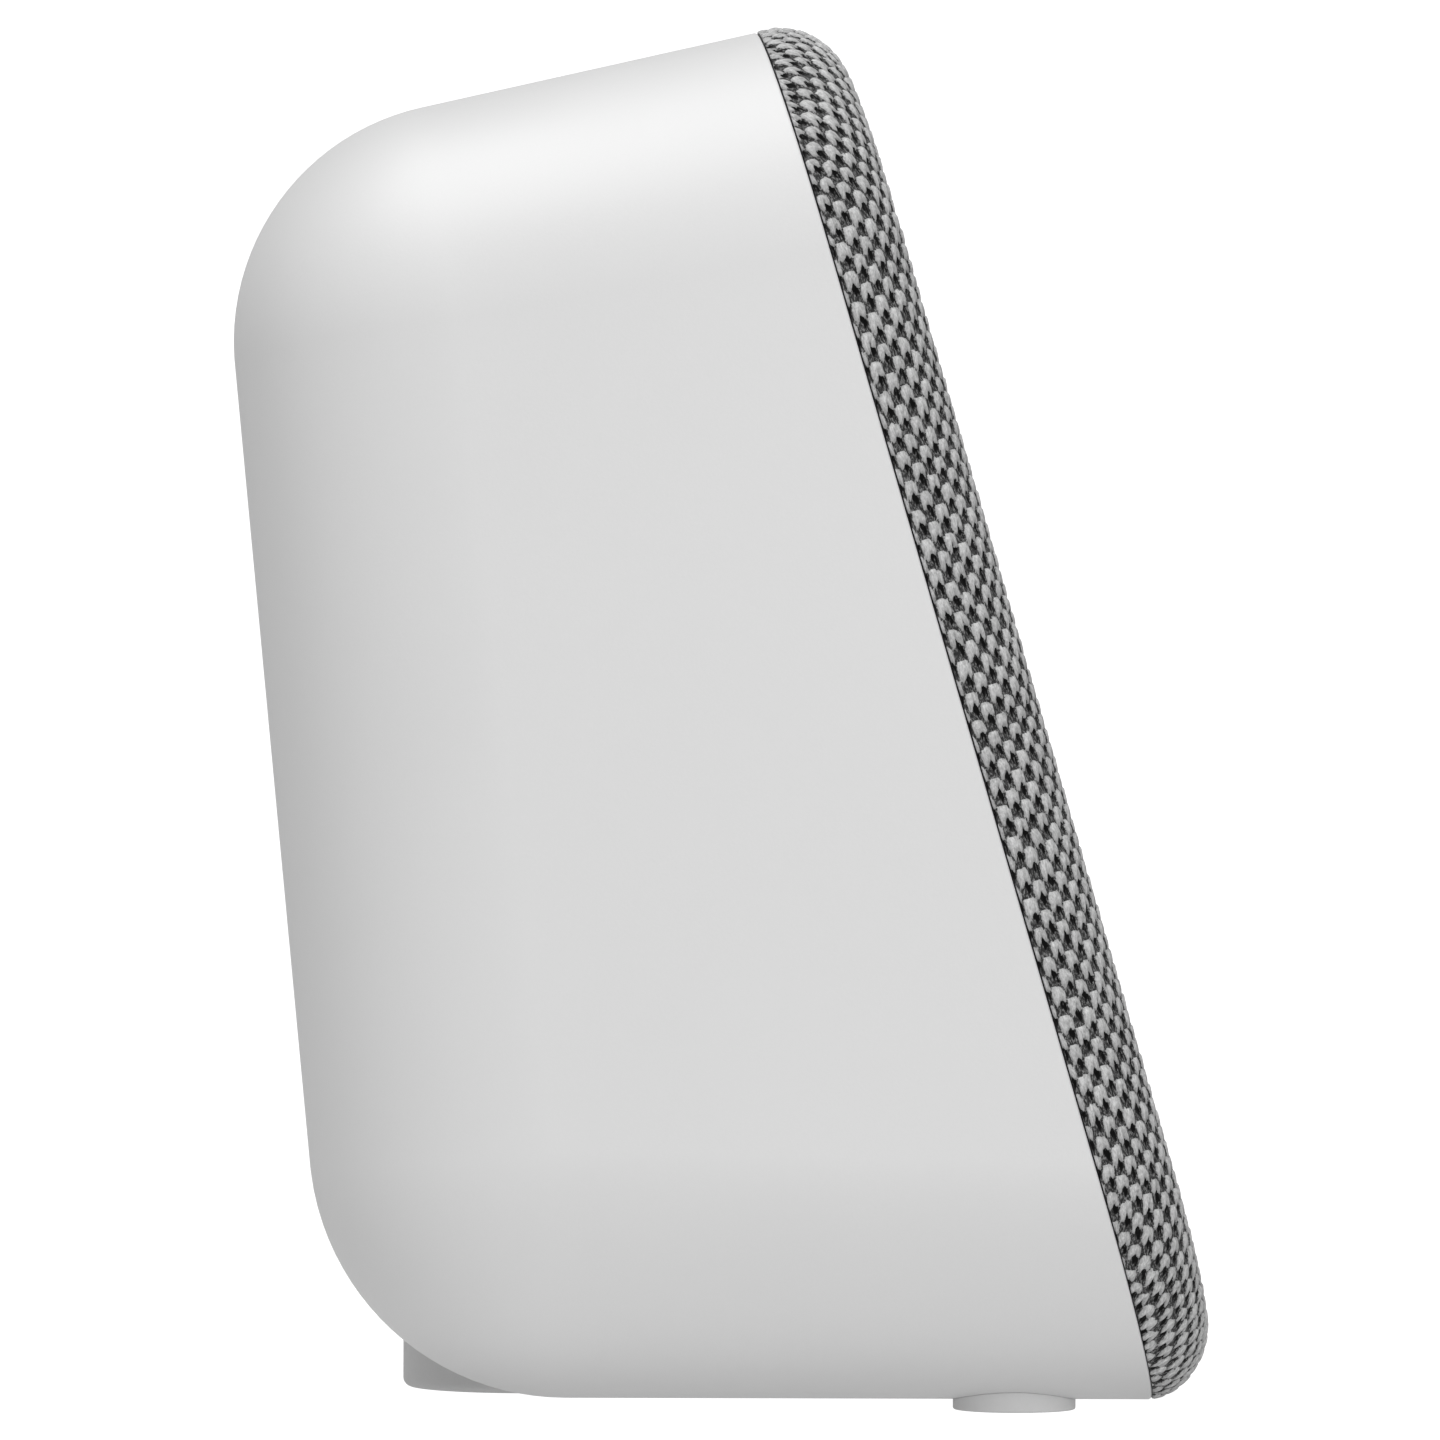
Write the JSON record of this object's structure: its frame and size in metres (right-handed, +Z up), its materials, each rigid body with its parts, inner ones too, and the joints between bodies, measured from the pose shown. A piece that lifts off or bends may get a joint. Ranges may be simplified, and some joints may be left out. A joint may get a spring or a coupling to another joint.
{
  "type": "smart speaker",
  "caption": "Table-top smart speaker with a leaning knit-covered front, a rounded white cabinet, top keys, a driver and a passive radiator.",
  "frame": {"origin": "on the table, under the middle of the whole object's box", "axes": "+Z up, -Y is the front that leans back, +X to the right as the object's front is seen"},
  "size_m": [0.158, 0.127, 0.1804],
  "materials": {
    "housing": "white satin moulded plastic with a very fine spark texture",
    "foot": "light grey matt rubber",
    "knit": "light and dark grey double knit",
    "black_plastic": "black moulded plastic",
    "key_plastic": "white satin moulded plastic",
    "seal_foam": "black closed-cell foam",
    "soft_rubber": "black moulded rubber",
    "cone_plastic": "black filled polypropylene",
    "steel": "zinc-plated steel",
    "screw": "zinc-plated screw",
    "magnet": "dark sintered ferrite",
    "spider_cloth": "resin-stiffened woven cloth",
    "copper": "enamelled copper winding",
    "circuit_board": "green solder mask",
    "aluminium": "extruded aluminium",
    "light_guide": "clear frosted acrylic",
    "capacitor_sleeve": "black shrink sleeve",
    "ribbon": "white flat flexible cable",
    "lead": "red and black twisted wire in one sleeve"
  },
  "bodies": {
    "cabinet": {"housing": "housing", "port_panel": "housing", "front_foot_left": "foot", "front_foot_right": "foot", "rear_foot": "foot", "grille_fabric": "knit", "front_baffle": "black_plastic", "grille_frame": "black_plastic", "driver_basket": "black_plastic", "radiator_frame": "black_plastic", "power_socket": "black_plastic", "mute_switch": "black_plastic", "key_switch_1": "black_plastic", "key_switch_2": "black_plastic", "key_switch_3": "black_plastic", "key_switch_4": "black_plastic", "baffle_seal": "seal_foam", "driver_surround": "soft_rubber", "radiator_surround": "soft_rubber", "microphone_left": "soft_rubber", "microphone_right": "soft_rubber", "driver_top_plate": "steel", "driver_yoke": "steel", "service_socket": "steel", "radio_shield": "steel", "baffle_screw_1": "screw", "baffle_screw_2": "screw", "baffle_screw_3": "screw", "baffle_screw_4": "screw", "baffle_screw_5": "screw", "baffle_screw_6": "screw", "driver_screw_1": "screw", "driver_screw_2": "screw", "driver_screw_3": "screw", "driver_screw_4": "screw", "driver_magnet": "magnet", "driver_spider": "spider_cloth", "main_board": "circuit_board", "control_board": "circuit_board", "socket_board": "circuit_board", "light_board": "circuit_board", "amplifier_heat_sink": "aluminium", "light_guide": "light_guide", "capacitor_1": "capacitor_sleeve", "capacitor_2": "capacitor_sleeve", "control_ribbon": "ribbon", "wifi_antenna": "ribbon", "driver_lead": "lead", "light_lead": "lead", "power_lead": "lead"},
    "volume_down_button": {"button_volume_down": "key_plastic"},
    "play_button": {"button_play": "key_plastic"},
    "action_button": {"button_action": "key_plastic"},
    "volume_up_button": {"button_volume_up": "key_plastic"},
    "mute_knob": {"mute_slider": "key_plastic"},
    "driver_diaphragm": {"driver_cone": "cone_plastic", "driver_dust_cap": "cone_plastic", "driver_voice_coil": "copper"},
    "radiator_diaphragm": {"radiator_plate": "cone_plastic"}
  },
  "joints": [
    {"name": "volume_down_press", "type": "slide", "parent": "cabinet", "child": "volume_down_button", "axis": [0, -0.2181, -0.9759], "range_m": [0, 0.0005], "stiffness_N_per_m": 2500},
    {"name": "play_press", "type": "slide", "parent": "cabinet", "child": "play_button", "axis": [0, -0.2181, -0.9759], "range_m": [0, 0.0005], "stiffness_N_per_m": 2500},
    {"name": "action_press", "type": "slide", "parent": "cabinet", "child": "action_button", "axis": [0, -0.2181, -0.9759], "range_m": [0, 0.0005], "stiffness_N_per_m": 2500},
    {"name": "volume_up_press", "type": "slide", "parent": "cabinet", "child": "volume_up_button", "axis": [0, -0.2181, -0.9759], "range_m": [0, 0.0005], "stiffness_N_per_m": 2500},
    {"name": "mute_slide", "type": "slide", "parent": "cabinet", "child": "mute_knob", "axis": [-1, 0, 0], "range_m": [0, 0.003]},
    {"name": "driver_travel", "type": "slide", "parent": "cabinet", "child": "driver_diaphragm", "axis": [0, -0.9611, 0.2763], "range_m": [-0.0025, 0.0025], "stiffness_N_per_m": 2200, "deforming": ["driver_surround", "driver_spider"]},
    {"name": "radiator_travel", "type": "slide", "parent": "cabinet", "child": "radiator_diaphragm", "axis": [0, -0.9611, 0.2763], "range_m": [-0.003, 0.003], "stiffness_N_per_m": 2200, "deforming": ["radiator_surround"]}
  ]
}
